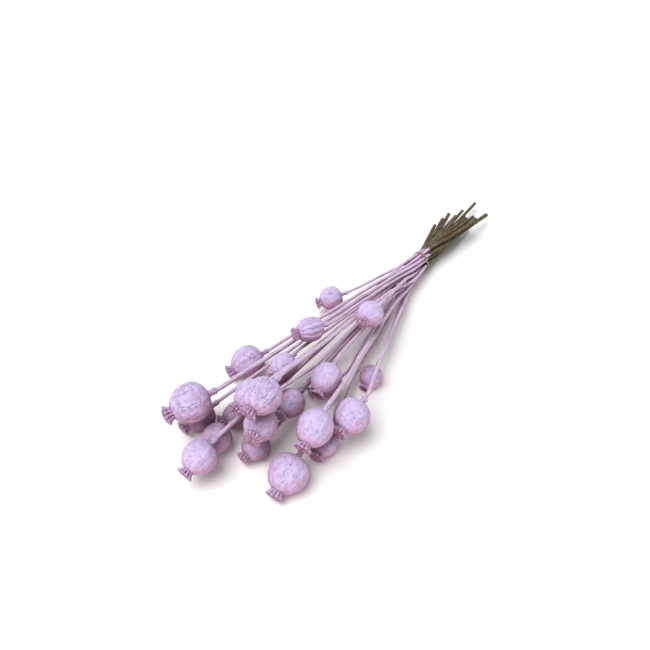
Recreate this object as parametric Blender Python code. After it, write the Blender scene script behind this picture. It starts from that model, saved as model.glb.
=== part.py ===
"""A tied bunch of dried poppy seed heads, painted pale lilac pink, lying on a table.

Each poppy is one grown piece: a cut stem, a double collar, a short stipe, a ribbed
capsule and a rayed, lobed crown. One doubled elastic band ties the stems together.
The heads point to -Y, the bare cut ends to +Y, and the table is at z = 0.
All working sizes are in millimetres, and the meshes are written in metres.
"""
import math

import bmesh
import bpy
import numpy as np

MM = 0.001

# The bunch
TIE_HEIGHT = 18.0
TWIST_AT_TIE = -98.0
TWIST_AT_ENDS = -158.0
SPREAD_AT_TIE = 0.12
SPREAD_AT_ENDS = 0.40
SPREAD_AXIS_HEIGHT = 22.0
GAP = 0.6
BRUSH_EDGE = 8.0

# The stem: its width below the collar over its width at the tie, plus a share of the head's
STEM_SIDES = 6
STEM_ROLL = 0.3
HEAD_STEM_WIDTH = 0.90
HEAD_STEM_GAIN = 0.008
HEAD_TAPER = 160.0
END_TAPER = 50.0
END_WIDTH = 1.35
WIDTH_WAVER = 0.03
WAVER_STEP = 3.1
NODE_SWELLING = 1.28

# The collar's rings over the stem's width there, from the stem up to the stipe
COLLAR_WIDTHS = (1.0, 1.62, 1.2, 1.49, 1.16)
COLLAR_STEP = 1.15
STIPE_LENGTH = 3.2
HOOK_LENGTH = 9.0
COLLAR_CLEAR = 9.0
END_CLEAR = 7.0

# The capsule, as fractions of its own radius
FULLNESS = 0.84
BASE_RADIUS = 0.17
NECK_RADIUS = 0.36
CROWNWARD_TAPER = 0.09
CAPSULE_RINGS = (0.11, 0.29, 0.50, 0.72, 0.89, 1.0)

# The crown, as fractions of the capsule's radius
CROWN_SKIRT = 0.15
SKIRT_RADIUS = 0.38
PLEAT = 0.86
CROWN_RISE = 0.30
CROWN_EDGE = 0.05
CROWN_DOME = 0.04
CROWN_INNER = 0.52
LOBE_NOTCH = 0.82
RAY_RELIEF = 0.045
CROWN_MIDDLE = 0.1
ROLL_STEP = 2.4

# The doubled elastic band
BAND_THICKNESS = 1.3
BAND_PITCH = 1.9
BAND_POINTS = 44
BAND_SIDES = 6
BAND_GAP = 0.35
BAND_ROOM = 1.05
CROSSING_AT = -0.9
CROSSING_HUMP = 6
SWAP_STEEPNESS = 2.5
SHARPEST_FACING = 0.2

# Where rings of the stems lie along the bunch: closer together round the tie
RING_STEP = 29.0
TIE_RING_STEP = 12.0
TIE_ZONE = 24.0
TEST_STEP = 7.0
FAR_HEADS = -401.0
FAR_ENDS = 182.0

# Spacing the stems and heads so that nothing crosses
ROUNDS = 600
SETTLED_AT = 0.72
STRAIGHTENING = 0.05
TIE_PULL = 0.25
TIE_REACH = 24.0
TIE_CORE = 3.0
SPREAD_OF_PUSH = 22.0
SPREAD_OF_HEAD_PUSH = 66.0
HEAD_YIELD = 0.35
PUSH_SHARE = 0.6
STEM_ROOM = 1.04
HEAD_ROOM = 1.03
TOUCHING = 1e-4
TINY = 1e-9

SHARP_EDGE = math.radians(50)
PAINT = (0.72, 0.56, 0.80)
BARE_STEM = (0.20, 0.16, 0.08)
BAND_COLOUR = (0.52, 0.36, 0.20)

# One row for each poppy: the capsule's centre x, y, z, or None where it lies on the table,
# the way it points (degrees to the side, degrees up), its width, its length over its width,
# its rays, its rib depth, its crown's width over its own, the stem's width at the tie and
# the reach of its cut end
POPPIES = (
    (-55, -337, 51, -24, -6, 39.0, 0.97, 12, 0.030, 0.50, 3.9, 140),
    (-60, -326, None, -14, -10, 31.5, 0.98, 11, 0.026, 0.52, 3.4, 106),
    (-33, -303, None, -28, -2, 27.5, 1.00, 10, 0.026, 0.54, 3.2, 97),
    (-28, -337, 18, -14, -23, 28.5, 1.00, 10, 0.022, 0.52, 3.2, 100),
    (-21, -366, 28, -4, -14, 32.5, 0.95, 11, 0.024, 0.54, 3.4, 113),
    (12, -319, 51, 17, 13, 31.0, 1.00, 14, 0.020, 0.58, 3.4, 130),
    (-12, -300, 53, -8, -6, 31.5, 1.00, 12, 0.026, 0.52, 3.3, 92),
    (13, -312, 83, 0, -7, 33.0, 1.03, 12, 0.030, 0.52, 3.6, 108),
    (6, -321, None, -8, -3, 28.0, 0.94, 10, 0.022, 0.50, 3.1, 124),
    (10, -274, 36, 6, 2, 28.5, 0.98, 12, 0.026, 0.50, 3.1, 162),
    (53, -292, 47, 5, -14, 34.0, 1.03, 12, 0.022, 0.54, 3.7, 96),
    (56, -281, None, 12, -4, 28.0, 1.00, 10, 0.024, 0.52, 3.1, 84),
    (67, -254, 33, 0, -6, 35.0, 0.98, 12, 0.026, 0.52, 3.6, 80),
    (50, -329, None, 3, -18, 37.5, 0.98, 11, 0.022, 0.48, 3.5, 118),
    (-66, -246, None, -24, -12, 35.5, 0.97, 12, 0.030, 0.50, 3.4, 104),
    (-15, -247, 44, 3, 0, 26.5, 1.02, 11, 0.026, 0.54, 3.1, 115),
    (-16, -203, 58, -22, 10, 26.0, 1.14, 12, 0.065, 0.57, 3.2, 110),
    (-49, -118, 20, -34, -8, 27.5, 0.95, 11, 0.024, 0.53, 2.9, 94),
    (23, -153, 62, 4, 10, 27.5, 1.00, 13, 0.026, 0.53, 3.6, 120),
    (28, -237, 45, 8, -14, 30.0, 1.05, 12, 0.020, 0.54, 3.2, 104),
    (15, -226, 17, -22, -3, 27.0, 0.98, 10, 0.024, 0.52, 2.9, 112),
    (46, -185, None, 5, -14, 24.5, 1.00, 10, 0.024, 0.50, 2.8, 99),
)


def turn(point, degrees):
    """Turn a point of the x-z plane about the bunch's axis."""
    c, s = math.cos(math.radians(degrees)), math.sin(math.radians(degrees))
    return np.array([point[0] * c - point[1] * s, point[0] * s + point[1] * c])


def ring_stations():
    """The places along Y that every stem's rings share."""
    near = np.arange(-TIE_ZONE, TIE_ZONE + 1, TIE_RING_STEP)
    heads = np.arange(-TIE_ZONE - RING_STEP, FAR_HEADS - 1, -RING_STEP)[::-1]
    ends = np.arange(TIE_ZONE + RING_STEP, FAR_ENDS + 1, RING_STEP)
    return np.concatenate([heads, near, ends])


class Poppy:
    """One poppy: the sizes of its parts and the rest line of its stem."""

    def __init__(self, number, row):
        x, y, z, side, up, width, stretch, rays, rib, crown, stem, reach = row
        self.number = number
        self.radius = width / 2
        self.half_length = self.radius * stretch
        self.rays = rays
        self.rib = rib
        self.crown_radius = self.radius * crown
        self.stem_radius = stem / 2
        self.head_stem_radius = stem / 2 * (HEAD_STEM_WIDTH + HEAD_STEM_GAIN * width)
        self.reach = reach
        self.roll = number * ROLL_STEP
        side, up = math.radians(side), math.radians(up)
        self.aim = np.array([math.sin(side) * math.cos(up), -math.cos(side) * math.cos(up), math.sin(up)])
        self.rests = z is None
        if self.rests:
            z = -min(point[2] for ring in head_rings(self) for point in ring)
        self.centre = np.array([x, y, z], float)
        self.collar_back = self.half_length + STIPE_LENGTH + (len(COLLAR_WIDTHS) - 1) * COLLAR_STEP

    def collar(self):
        """The middle of the collar's lower edge."""
        return self.centre - self.aim * self.collar_back

    def crown(self):
        """The middle of the crown, for spacing."""
        return self.centre + self.aim * (self.half_length + CROWN_MIDDLE * self.radius)

    def stem_width_at(self, y):
        """The stem's radius, from the head through the tie to the cut end."""
        toward_head = np.clip(-y / HEAD_TAPER, 0, 1)
        toward_end = np.clip(y / END_TAPER, 0, 1)
        radius = self.stem_radius + (self.head_stem_radius - self.stem_radius) * toward_head
        return radius * (1 + (END_WIDTH - 1) * toward_end)

    def rest_line(self, stations):
        """The stem's x and z at each station before it is spaced from its neighbours."""
        collar = self.collar()
        offset = np.array([self.centre[0], self.centre[2] - SPREAD_AXIS_HEIGHT])
        at_tie = turn(offset, TWIST_AT_TIE) * SPREAD_AT_TIE + (0, TIE_HEIGHT)
        at_end = turn(offset, TWIST_AT_ENDS) * SPREAD_AT_ENDS + (0, TIE_HEIGHT)
        at_end[1] = max(at_end[1], self.stem_radius)
        slope = (collar[[0, 2]] - at_tie) / collar[1]
        aim_slope = self.aim[[0, 2]] / self.aim[1]
        line = np.zeros((len(stations), 2))
        for i, y in enumerate(stations):
            past_collar = y - collar[1]
            if y > 0:
                line[i] = at_tie + (at_end - at_tie) * y / self.reach
            elif past_collar > 0:
                hook = past_collar * math.exp(-past_collar / HOOK_LENGTH)
                line[i] = at_tie + slope * y + (aim_slope - slope) * hook
            else:
                line[i] = collar[[0, 2]] + aim_slope * past_collar
        return line


def across(aim):
    """Two directions across an aim, the first as level as can be."""
    first = np.cross(aim, (0.0, 0.0, 1.0))
    first /= np.linalg.norm(first)
    return first, np.cross(first, aim)


def ring_round(middle, first, second, radii, start):
    """Points round a middle at even angles, one for each radius."""
    angles = start + np.arange(len(radii)) * 2 * math.pi / len(radii)
    return [middle + r * (math.cos(a) * first + math.sin(a) * second) for r, a in zip(radii, angles)]


def capsule_radius(share):
    """The capsule's radius and place along its axis, from its base (0) to its neck (1)."""
    base_angle = math.asin(BASE_RADIUS ** (1 / FULLNESS))
    neck_angle = math.pi - math.asin(NECK_RADIUS ** (1 / FULLNESS))
    angle = base_angle + (neck_angle - base_angle) * share
    along = -math.cos(angle)
    return math.sin(angle) ** FULLNESS * (1 - CROWNWARD_TAPER * along), along


def head_rings(poppy):
    """The rings of the capsule and crown about the capsule's centre, base first."""
    first, second = across(poppy.aim)
    crest = np.arange(2 * poppy.rays) % 2 == 0
    rings = []

    def add(along, radii):
        rings.append(ring_round(poppy.aim * along, first, second, radii, poppy.roll))

    radius, along = capsule_radius(0)
    base = [poppy.radius * radius] * STEM_SIDES
    rings.append(ring_round(poppy.aim * along * poppy.half_length, first, second, base, poppy.roll))
    for share in CAPSULE_RINGS:
        radius, along = capsule_radius(share)
        rib = poppy.rib if share < 1 else 2 * poppy.rib
        add(along * poppy.half_length, poppy.radius * radius * np.where(crest, 1.0, 1.0 - rib))
    neck = capsule_radius(1)[1] * poppy.half_length
    lobes = poppy.crown_radius * np.where(crest, 1.0, LOBE_NOTCH)
    skirt = poppy.radius * SKIRT_RADIUS * np.where(crest, 1.0, PLEAT)
    add(neck + CROWN_SKIRT * poppy.radius, skirt)
    add(neck + CROWN_RISE * poppy.radius, lobes)
    add(neck + (CROWN_RISE + CROWN_EDGE) * poppy.radius, lobes)
    add(neck + (CROWN_RISE + CROWN_EDGE + CROWN_DOME) * poppy.radius, lobes * CROWN_INNER)
    ray = poppy.aim * RAY_RELIEF * poppy.radius
    rings[-2] = [p + ray * c for p, c in zip(rings[-2], crest)]
    rings[-1] = [p + ray * c for p, c in zip(rings[-1], crest)]
    rings.append([poppy.aim * (neck + (CROWN_RISE + CROWN_EDGE + 2 * CROWN_DOME) * poppy.radius)])
    return rings


def linear_weights(tests, stations):
    """The share of each ring station in each test station, along straight runs."""
    weights = np.zeros((len(tests), len(stations)))
    for i, y in enumerate(tests):
        k = int(np.clip(np.searchsorted(stations, y) - 1, 0, len(stations) - 2))
        f = (y - stations[k]) / (stations[k + 1] - stations[k])
        weights[i, k], weights[i, k + 1] = 1 - f, f
    return weights


def slices(poppies, tests):
    """Radii of the stems, capsules and crowns where each test station cuts them."""
    stems, capsules, crowns = [], [], []
    for p in poppies:
        collar_y = p.collar()[1]
        stem = p.stem_width_at(tests) * STEM_ROOM
        near_collar = np.abs(tests - collar_y) < TEST_STEP
        stem = np.where(near_collar, p.head_stem_radius * max(COLLAR_WIDTHS), stem)
        on_stem = (tests > collar_y - TEST_STEP) & (tests < p.reach + TEST_STEP)
        stems.append(np.where(on_stem, stem, -1.0))
        ball = HEAD_ROOM * max(p.radius, p.half_length)
        inside = ball ** 2 - (tests - p.centre[1]) ** 2
        capsules.append(np.where(inside > 0, np.sqrt(np.maximum(inside, 0)), -1.0))
        crown_y = p.crown()[1]
        inside = p.crown_radius ** 2 - (tests - crown_y) ** 2
        crowns.append(np.where(inside > 0, np.sqrt(np.maximum(inside, 0)), -1.0))
    return stems, capsules, crowns


def meeting_pairs(radii, owners):
    """Pairs of discs of different poppies that share a test station."""
    first, second = np.triu_indices(len(owners), 1)
    meet = ((radii[first] > 0) & (radii[second] > 0)).any(axis=1)
    keep = meet & (owners[first] != owners[second])
    return first[keep], second[keep]


def push_apart(places, radii, pairs, yields):
    """The summed and the strongest push on each disc at every test station."""
    first, second = pairs
    gap = places[first] - places[second]
    distance = np.linalg.norm(gap, axis=2) + TINY
    present = (radii[first] > 0) & (radii[second] > 0)
    overlap = np.where(present, np.maximum(radii[first] + radii[second] + GAP - distance, 0), 0)
    push = (overlap / distance)[..., None] * gap
    share = (yields[first] / (yields[first] + yields[second]))[:, None]
    summed = np.zeros_like(places)
    strongest = np.zeros(radii.shape)
    np.add.at(summed, first, push * share[..., None])
    np.add.at(summed, second, -push * (1 - share)[..., None])
    np.maximum.at(strongest, first, overlap * share)
    np.maximum.at(strongest, second, overlap * (1 - share))
    return summed, strongest


class Spacing:
    """Moves the stems and heads apart until nothing crosses."""

    def __init__(self, poppies, stations):
        self.poppies = poppies
        self.stations = stations
        self.tests = np.arange(FAR_HEADS, FAR_ENDS, TEST_STEP)
        self.to_tests = linear_weights(self.tests, stations)
        self.near = np.exp(-((stations[:, None] - self.tests[None, :]) / SPREAD_OF_PUSH) ** 2 / 2)
        self.rest = np.array([p.rest_line(stations) for p in poppies])
        self.shift = np.zeros_like(self.rest)
        self.radii = np.concatenate(slices(poppies, self.tests))
        self.owners = np.tile(np.arange(len(poppies)), 3)
        self.pairs = meeting_pairs(self.radii, self.owners)
        self.yields = np.where(np.arange(len(self.owners)) < len(poppies), 1.0, HEAD_YIELD)
        self.at_collar = [int(np.searchsorted(stations, p.collar()[1])) for p in poppies]
        self.centres = np.array([p.centre[[0, 2]] for p in poppies])
        self.crowns = np.array([p.crown()[[0, 2]] for p in poppies])
        self.tie_share = np.exp(-(stations / TIE_REACH) ** 2 / 2)[None, :, None]

    def head_shifts(self):
        """How far each head has moved."""
        return np.array([self.shift[i, k - 1] for i, k in enumerate(self.at_collar)])

    def lines(self):
        """Each stem's x and z at the ring stations, straight from its collar to its first ring."""
        lines = self.rest + self.shift
        for i, poppy in enumerate(self.poppies):
            collar = poppy.collar()
            foot = collar[[0, 2]] + self.shift[i, self.at_collar[i] - 1]
            first = int(np.searchsorted(self.stations, collar[1] + COLLAR_CLEAR))
            share = (self.stations[:first] - collar[1]) / (self.stations[first] - collar[1])
            lines[i, :first] = foot + (lines[i, first] - foot) * share[:, None]
        return lines

    def places(self):
        """The middle of each stem, capsule and crown slice at every test station."""
        moved = self.head_shifts()
        stems = np.einsum("ts,psx->ptx", self.to_tests, self.lines())
        heads = np.repeat((self.centres + moved)[:, None], len(self.tests), axis=1)
        crowns = np.repeat((self.crowns + moved)[:, None], len(self.tests), axis=1)
        return np.concatenate([stems, heads, crowns])

    def floor_push(self, places):
        """How far each slice reaches below the table."""
        depth = np.where(self.radii > 0, np.maximum(self.radii - places[..., 1], 0), 0)
        for i, poppy in enumerate(self.poppies):
            if poppy.rests:
                depth[i + len(self.poppies)] = 0
                depth[i + 2 * len(self.poppies)] = 0
        return depth

    def stem_change(self, i, summed, strongest):
        """A stem's pushes, spread smoothly along it."""
        active = (strongest[i] > TOUCHING).astype(float)
        blend = (self.near @ (summed[i] * active[:, None])) / (self.near @ active + TINY)[:, None]
        return blend * (self.near * active[None, :]).max(axis=1)[:, None]

    def head_change(self, i, summed, strongest):
        """A head's push, which moves it whole and fades along its stem."""
        push = np.zeros(2)
        for layer in (1, 2):
            row = layer * len(self.poppies) + i
            push += summed[row, int(np.argmax(strongest[row]))]
        past = np.maximum(self.stations - self.stations[self.at_collar[i] - 1], 0)
        return push * np.exp(-(past / SPREAD_OF_HEAD_PUSH) ** 2 / 2)[:, None]

    def step(self, calm):
        """One round of pushes; calm falls from 1 to 0 as the bunch settles."""
        places = self.places()
        summed, strongest = push_apart(places, self.radii, self.pairs, self.yields)
        floor = self.floor_push(places)
        summed[..., 1] += floor
        strongest = np.maximum(strongest, floor)
        change = -STRAIGHTENING * calm * self.shift
        inward = np.array([0, TIE_HEIGHT]) - (self.rest + self.shift)
        distance = np.linalg.norm(inward, axis=2, keepdims=True)
        change += inward / np.maximum(distance, TIE_CORE) * TIE_PULL * calm * self.tie_share
        for i, poppy in enumerate(self.poppies):
            head = self.at_collar[i]
            stem = self.stem_change(i, summed, strongest)
            stem[:head] *= HEAD_YIELD
            change[i] += PUSH_SHARE * (stem + self.head_change(i, summed, strongest))
            change[i, :head] = change[i, head - 1]
            if poppy.rests:
                change[i, :head, 1] = 0.0
        self.shift += change

    def settle(self):
        """Space the bunch, move each head to its place and return the stems' lines."""
        for count in range(ROUNDS):
            self.step(max(0.0, 1 - count / (ROUNDS * SETTLED_AT)))
        lines = self.lines()
        for poppy, moved in zip(self.poppies, self.head_shifts()):
            poppy.centre[[0, 2]] += moved
        return lines


def stem_rings(poppy, stations, line):
    """The middle and radius of each ring, from the cut end up to the stipe."""
    collar = poppy.collar()
    used = [k for k, y in enumerate(stations) if collar[1] + COLLAR_CLEAR <= y < poppy.reach - END_CLEAR]
    end_x, end_z = (np.interp(poppy.reach, stations, line[:, axis]) for axis in (0, 1))
    middles = [np.array([end_x, poppy.reach, end_z])]
    middles += [np.array([line[k, 0], stations[k], line[k, 1]]) for k in reversed(used)]
    waver = [1 + WIDTH_WAVER * math.sin(WAVER_STEP * i + poppy.number) for i in range(len(middles))]
    radii = [float(poppy.stem_width_at(m[1])) * w for m, w in zip(middles, waver)]
    clear = [i for i, m in enumerate(middles) if i > 0 and abs(m[1]) > TIE_ZONE + TIE_RING_STEP]
    radii[clear[poppy.number * 5 % len(clear)]] *= NODE_SWELLING
    for i, width in enumerate(COLLAR_WIDTHS):
        middles.append(collar + poppy.aim * i * COLLAR_STEP)
        radii.append(poppy.head_stem_radius * width)
    return middles, radii


def zip_rings(mesh, lower, upper):
    """Join two rings of any counts with triangles."""
    nearest = min(range(len(upper)), key=lambda k: (upper[k].co - lower[0].co).length)
    upper = upper[nearest:] + upper[:nearest]
    i = j = 0
    faces = []
    while i < len(lower) or j < len(upper):
        a, b = lower[i % len(lower)], upper[j % len(upper)]
        if (i + 0.5) / len(lower) <= (j + 0.5) / len(upper):
            i += 1
            faces.append(mesh.faces.new((a, lower[i % len(lower)], b)))
        else:
            j += 1
            faces.append(mesh.faces.new((a, upper[j % len(upper)], b)))
    return faces


def material(name, colour, roughness):
    """A plain finish."""
    finish = bpy.data.materials.new(name)
    finish.use_nodes = True
    shader = finish.node_tree.nodes["Principled BSDF"]
    shader.inputs["Base Color"].default_value = (*colour, 1)
    shader.inputs["Roughness"].default_value = roughness
    return finish


def add_object(name, mesh, finishes):
    """Turn a finished bmesh into a named object in the scene."""
    bmesh.ops.recalc_face_normals(mesh, faces=mesh.faces)
    data = bpy.data.meshes.new(name)
    mesh.to_mesh(data)
    mesh.free()
    for finish in finishes:
        data.materials.append(finish)
    data.shade_smooth()
    data.set_sharp_from_angle(angle=SHARP_EDGE)
    item = bpy.data.objects.new(name, data)
    bpy.context.scene.collection.objects.link(item)
    return item


def build_poppy(poppy, stations, line, finishes):
    """One poppy as a single closed mesh, ring after ring from its cut end to its crown."""
    middles, radii = stem_rings(poppy, stations, line)
    mesh = bmesh.new()
    rings = []
    across_line = np.array([1.0, 0.0, 0.0])
    for i, middle in enumerate(middles):
        ahead = middles[min(i + 1, len(middles) - 1)] - middles[max(i - 1, 0)]
        along = ahead / np.linalg.norm(ahead)
        across_line = across_line - along * (across_line @ along)
        across_line /= np.linalg.norm(across_line)
        other = np.cross(across_line, along)
        rings.append(ring_round(middle, across_line, other, [radii[i]] * STEM_SIDES, STEM_ROLL))
    stem_count = len(rings)
    rings += [[p + poppy.centre for p in ring] for ring in head_rings(poppy)]
    verts = [[mesh.verts.new(p * MM) for p in ring] for ring in rings]
    mesh.faces.new(verts[0])
    for i in range(len(verts) - 1):
        lower, upper = verts[i], verts[i + 1]
        if len(upper) > 1:
            faces = zip_rings(mesh, lower, upper)
        else:
            faces = [mesh.faces.new((lower[k - 1], lower[k], upper[0])) for k in range(len(lower))]
        bare = i < stem_count and middles[i][1] > BRUSH_EDGE
        for face in faces:
            face.material_index = 1 if bare else 0
    return add_object(f"poppy_{poppy.number:02d}", mesh, finishes)


def band_outline(stems, angles):
    """How far a stretched band lies from the tie's axis, at each angle round the stems."""
    facing = np.linspace(0, 2 * math.pi, 361)[:-1]
    reach = np.max([x * np.cos(facing) + z * np.sin(facing) + r for x, z, r in stems], axis=0)
    lift = BAND_GAP + BAND_THICKNESS / 2
    out = []
    for angle in angles:
        cosine = np.cos(facing - angle)
        facing_it = cosine > SHARPEST_FACING
        out.append(np.min((reach[facing_it] + lift) / cosine[facing_it]))
    return np.array(out)


def build_tie(poppies, stations, lines, finish):
    """The elastic band, twice round the stems and crossing itself once."""
    stems = []
    for poppy, line in zip(poppies, lines):
        for y in (-BAND_PITCH, 0.0, BAND_PITCH):
            x = np.interp(y, stations, line[:, 0])
            z = np.interp(y, stations, line[:, 1]) - TIE_HEIGHT
            stems.append((x, z, poppy.stem_radius * BAND_ROOM))
    turns = np.arange(BAND_POINTS) / BAND_POINTS * 4 * math.pi
    out = band_outline(stems, (turns + CROSSING_AT - math.pi) % (2 * math.pi))
    over = np.maximum(np.sin(turns / 2), 0) ** CROSSING_HUMP
    out = out + over * (BAND_THICKNESS + BAND_GAP)
    swap = np.tanh(SWAP_STEEPNESS * np.cos(turns / 2)) / math.tanh(SWAP_STEEPNESS)
    side = BAND_PITCH / 2 * swap
    angles = turns + CROSSING_AT - math.pi
    path = np.stack([out * np.cos(angles), side, TIE_HEIGHT + out * np.sin(angles)], axis=1)
    mesh = bmesh.new()
    rings = []
    for i, middle in enumerate(path):
        along = path[(i + 1) % BAND_POINTS] - path[i - 1]
        along /= np.linalg.norm(along)
        outward = np.array([math.cos(angles[i]), 0.0, math.sin(angles[i])])
        outward -= along * (outward @ along)
        outward /= np.linalg.norm(outward)
        points = ring_round(middle, outward, np.cross(outward, along),
                            [BAND_THICKNESS / 2] * BAND_SIDES, 0.0)
        rings.append([mesh.verts.new(p * MM) for p in points])
    for i in range(BAND_POINTS):
        after = rings[(i + 1) % BAND_POINTS]
        for k in range(BAND_SIDES):
            mesh.faces.new((rings[i][k - 1], rings[i][k], after[k], after[k - 1]))
    return add_object("elastic_tie", mesh, [finish])


def centre_over_footprint(items):
    """Move every piece so that the origin is the middle of the bunch's footprint, on the table."""
    points = np.array([point.co[:] for item in items for point in item.data.vertices])
    low, high = points.min(axis=0), points.max(axis=0)
    for item in items:
        item.location = (-(low[0] + high[0]) / 2, -(low[1] + high[1]) / 2, -low[2])


def main():
    """Space the poppies, build every piece and centre the bunch."""
    for item in list(bpy.data.objects):
        bpy.data.objects.remove(item)
    poppies = [Poppy(i + 1, row) for i, row in enumerate(POPPIES)]
    stations = ring_stations()
    lines = Spacing(poppies, stations).settle()
    paint = material("Painted_poppy", PAINT, 0.85)
    bare = material("Bare_stem", BARE_STEM, 0.8)
    band = material("Elastic_band", BAND_COLOUR, 0.6)
    built = [build_poppy(p, stations, line, [paint, bare]) for p, line in zip(poppies, lines)]
    built.append(build_tie(poppies, stations, lines, band))
    centre_over_footprint(built)


main()
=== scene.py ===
"""The looks of a tied bunch of dried poppy seed heads, painted pale lilac pink.

Each poppy of the frame is rebuilt as one finer piece of the same form. The rings of its
solid give the line of its stem and the axis, size and rays of its head. This script adds
ribs, wrinkles, lobes and rays, the ragged edge of the paint and the bare brown stems.
Sizes are in metres.
"""
import math
from collections import namedtuple

import bmesh
import bpy
import numpy as np
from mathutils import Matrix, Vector
from mathutils.bvhtree import BVHTree


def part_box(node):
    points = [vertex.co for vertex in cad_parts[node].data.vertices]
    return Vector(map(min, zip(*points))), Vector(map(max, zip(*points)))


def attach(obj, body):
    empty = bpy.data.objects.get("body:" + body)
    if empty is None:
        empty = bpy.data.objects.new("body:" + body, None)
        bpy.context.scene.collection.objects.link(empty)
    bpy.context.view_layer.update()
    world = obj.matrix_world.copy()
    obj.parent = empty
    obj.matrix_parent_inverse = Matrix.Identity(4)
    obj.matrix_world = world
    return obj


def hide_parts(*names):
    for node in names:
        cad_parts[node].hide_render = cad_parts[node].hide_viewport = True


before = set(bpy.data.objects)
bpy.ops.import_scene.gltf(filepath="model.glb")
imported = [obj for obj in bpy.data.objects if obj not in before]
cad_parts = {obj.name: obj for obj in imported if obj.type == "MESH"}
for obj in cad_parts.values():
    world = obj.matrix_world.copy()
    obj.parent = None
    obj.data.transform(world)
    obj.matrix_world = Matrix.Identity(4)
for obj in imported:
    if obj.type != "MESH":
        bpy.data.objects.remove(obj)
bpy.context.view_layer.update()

MM = 0.001

# The camera and its place in the frame
CAMERA_PLACE = (258.5 * MM, -456.6 * MM, 524.0 * MM)
CAMERA_DOWN = 45.0
CAMERA_TURN = 35.0
FIELD_OF_VIEW = 53.13

# How the frame's solids are laid out. Rings are counted back from the middle of the crown
WELD = 0.02 * MM
SOLID_SIDES = 6
BASE_RING, MIDDLE_RING, NECK_RING, LOBE_RING = -12, -9, -6, -4
COLLAR_RINGS = 5
# A ring this much wider than its neighbours is a leaf's swelling
SWOLLEN = 1.12

# The capsule's outline, as in the frame's solids
FULLNESS = 0.84
BASE_RADIUS = 0.17
NECK_RADIUS = 0.36
CROWNWARD_TAPER = 0.09

# The finer mesh
STEM_SIDES = 16
COLLAR_SIDES = 32
STIPE_SIDES = 64
HEAD_SIDES = 128
ROW_STEP = 2.6 * MM
COLLAR_ROWS = 15
STIPE_ROWS = 5
CAPSULE_ROWS = 72
SKIRT_ROWS = 13
DISC_ROWS = 20

# A stem's grooves, dents and leaf scars, with their heights as shares of its radius
STEM_FULLNESS = 1.02
GROOVES = 5
GROOVE_DEPTH = 0.025
GROOVE_PITCH = 60 * MM
DENT_DEPTH = 0.04
DENT_ROUND = 1.5
DENT_LENGTH = 7 * MM
SCAR_HEIGHT = 0.28
SCAR_LENGTH = 4.5 * MM
SCAR_ROUND, SCAR_LEAN = 0.6, 0.4

# The cut end's rings: their share of the stem's radius, and how deep each lies in mm
CUT_END = ((0.0, 0.9), (0.42, 0.8), (0.6, 0.15), (0.9, 0.0), (1.0, 0.25))
PITH = 0.6
PITH_SHADE = 0.8

# The collar's knobs and the stipe, with heights as shares of the radius, and the painted shade and
# light on them
KNOB_HEIGHT = 0.05
KNOB_COUNT, KNOB_SWAY = 9, 4
KNOB_LIGHT = 2
COLLAR_SHADE = 0.4
STIPE_CURVE = 1.6
STIPE_SHADE = 0.35

# The capsule's ribs, creases and broad hollows. Depths are shares of its radius, the other
# sizes shape their noise, and shades darken their low parts
ROUND_VALLEY, SHARP_VALLEY, VALLEY_POWER = 0.45, 0.55, 5
RIB_DEPTH = 1.2
RIB_START, RIB_STRENGTHENS = 0.25, 0.8
CREASE_COUNT, WRINKLED_COUNT = 5, 4
CREASE_LENGTH, FINE_LENGTH = 2.4, 9
CREASE_WIDTH, FINE_WIDTH = 3.5, 4
FINE_SIZE, FINE_SHARE = 0.8, 0.5
CREASE_DEPTH = 0.024
SMOOTH_BASE = 0.3
BEND, BEND_ROUND, BEND_ALONG = 0.35, 3, 6
HOLLOW_DEPTH, HOLLOW_ROUND, HOLLOW_ALONG = 0.012, 1.7, 3
CREASE_SHADE, RIB_SHADE = 0.42, 2.6
NECK_SHADE, FOOT_SHADE = 0.65, 0.5
BEND_SEED, CREASE_SEED, FINE_SEED, HOLLOW_SEED = 20, 40, 80, 120
CREASE_OFFSET = 9

# The crown. Heights and depths are shares of the capsule's radius or of the lobe's edge,
# shades darken its low parts, and colours are how much of the crown's own colour it has
RAY_HEIGHT = 0.055
DISH_DEPTH = 0.26
LOBE_DROOP = 0.05
LOBE_WARP, LOBE_WARP_ROUND = 0.05, 2
LOBE_SMALL, LOBE_LARGE = 0.93, 1.02
LOBE_LIFT = 0.03
EDGE_THICK, NOTCH_THIN = 0.8, 0.35
EDGE_BULGE = 0.02
NOTCH_SHADE = 0.95
SKIRT_FLARE = 2.2
PLEAT_DEPTH, PLEAT_SHADE = 0.22, 3.0
SKIRT_SHADE, SKIRT_LIGHT = 0.45, 0.40
NECK_RIBS = 2
RAY_WIDTH = 0.95
RAY_REACH, RAY_CURVE = 1.15, 0.8
RIM_HEIGHT, RIM_PLACE, RIM_WIDTH = 0.02, 0.86, 0.12
DISC_OUTER, DISC_INNER = 0.98, 0.04
DISC_CURVE = 1.5
DISH_SHADE, GAP_SHADE, LOBE_SHADE = 0.75, 0.75, 0.4
SKIRT_COLOUR, EDGE_COLOUR, RIM_COLOUR = 0.5, 0.15, 0.35
TIP_SHADE = 0.5

# Paint: how far it reaches past the tie on the top and the bottom stems, how much is left
# where it is thin, and how open a place must be to have it, or to get painted shade for lying closed
# in by the bunch
PAINT_PAST_TIE = 16 * MM
PAINT_SHORT_OF_TIE = -20 * MM
PAINT_FADE = 10 * MM
THIN_STEM_PAINT, THIN_HEAD_PAINT = 0.15, 0.45
STEM_OPEN, HEAD_OPEN = (-0.1, 0.30), (0.02, 0.3)
# How closed in a place must be for painted shade on a stem and on a head, and how much a crown gets
STEM_BURIED_SHADE, HEAD_BURIED_SHADE = (0.74, 0.08), (0.95, 0.15)
CROWN_BURIED_SHADE = 0.45

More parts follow.
